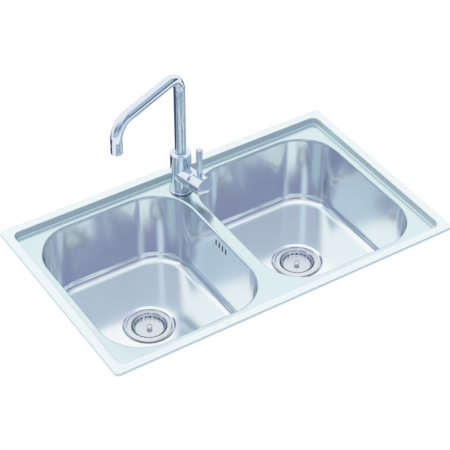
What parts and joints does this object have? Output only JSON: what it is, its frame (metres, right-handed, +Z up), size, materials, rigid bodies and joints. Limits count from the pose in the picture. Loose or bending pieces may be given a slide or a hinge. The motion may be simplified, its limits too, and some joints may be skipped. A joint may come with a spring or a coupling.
{
  "type": "double bowl kitchen sink",
  "caption": "Rectangular drop-in steel sink with side-by-side deep bowls, strainer wastes, overflow and a swivelling tall tap with a side lever.",
  "frame": {"origin": "centre of the sink at the height of the worktop that its rim rests on", "axes": "+Z up, +X along the sink to the right of someone standing at it, +Y to the back, where the tap stands"},
  "size_m": [0.84, 0.515, 0.5845],
  "materials": {
    "brushed_steel": "drawn stainless sheet, fine satin",
    "polished_steel": "bright drawn stainless",
    "zinc_plated_steel": "zinc plated, dull bright",
    "chrome_plated_brass": "mirror",
    "brass": "turned",
    "seal_rubber": "matte",
    "foam_seal": "closed-cell foam",
    "sound_pad": "matte sheet",
    "moulded_polypropylene": "moulded, satin",
    "ceramic": null,
    "acetal": "moulded"
  },
  "bodies": {
    "sink": {"deck_panel": "brushed_steel", "left_bowl": "brushed_steel", "right_bowl": "brushed_steel", "clip_rails": "brushed_steel", "left_strainer_cup": "polished_steel", "right_strainer_cup": "polished_steel", "left_cup_screw": "polished_steel", "right_cup_screw": "polished_steel", "clip_brackets": "zinc_plated_steel", "clip_bolts": "zinc_plated_steel", "clip_nuts": "zinc_plated_steel", "overflow_studs": "zinc_plated_steel", "overflow_nuts": "zinc_plated_steel", "fixing_stud": "zinc_plated_steel", "horseshoe_plate": "zinc_plated_steel", "tap_base_ring": "chrome_plated_brass", "tap_body": "chrome_plated_brass", "spout_ring": "chrome_plated_brass", "barrel_dome": "chrome_plated_brass", "stud_nut": "brass", "cartridge_nut": "brass", "left_flange_seal": "seal_rubber", "right_flange_seal": "seal_rubber", "left_under_gasket": "seal_rubber", "right_under_gasket": "seal_rubber", "overflow_gasket": "seal_rubber", "tap_base_gasket": "seal_rubber", "horseshoe_rubber": "seal_rubber", "cartridge_seals": "seal_rubber", "rim_seal": "foam_seal", "left_sound_pad": "sound_pad", "right_sound_pad": "sound_pad", "left_waste_housing": "moulded_polypropylene", "right_waste_housing": "moulded_polypropylene", "overflow_housing": "moulded_polypropylene", "fixed_disc": "ceramic", "cartridge_housing": "acetal"},
    "spout": {"spout_tube": "chrome_plated_brass", "spout_bush": "acetal", "spout_seals": "seal_rubber", "aerator_housing": "chrome_plated_brass", "aerator_insert": "acetal"},
    "lever_turner": {"moving_disc": "ceramic", "cartridge_carrier": "acetal", "pivot_pin": "polished_steel"},
    "lever": {"cartridge_stem": "polished_steel", "lever_cap": "chrome_plated_brass", "lever_pin": "chrome_plated_brass", "grub_screw": "zinc_plated_steel"},
    "left_strainer": {"left_basket": "polished_steel", "left_basket_knob": "polished_steel", "left_basket_seal": "seal_rubber"},
    "right_strainer": {"right_basket": "polished_steel", "right_basket_knob": "polished_steel", "right_basket_seal": "seal_rubber"}
  },
  "joints": [
    {"name": "spout_swivel", "type": "hinge", "parent": "sink", "child": "spout", "pos_m": [0, 0.189, 0.087], "axis": [0, 0, 1], "continuous": true},
    {"name": "lever_turn", "type": "hinge", "parent": "sink", "child": "lever_turner", "pos_m": [0, 0.189, 0.038], "axis": [0.2079, -0.9781, 0], "range_deg": [-45, 45]},
    {"name": "lever_tilt", "type": "hinge", "parent": "lever_turner", "child": "lever", "pos_m": [0.00728, 0.15476, 0.038], "axis": [0.9781, 0.2079, 0], "range_deg": [0, 20]},
    {"name": "left_basket_lift", "type": "slide", "parent": "sink", "child": "left_strainer", "axis": [0, 0, 1], "range_m": [0, 0.22]},
    {"name": "right_basket_lift", "type": "slide", "parent": "sink", "child": "right_strainer", "axis": [0, 0, 1], "range_m": [0, 0.22]}
  ]
}
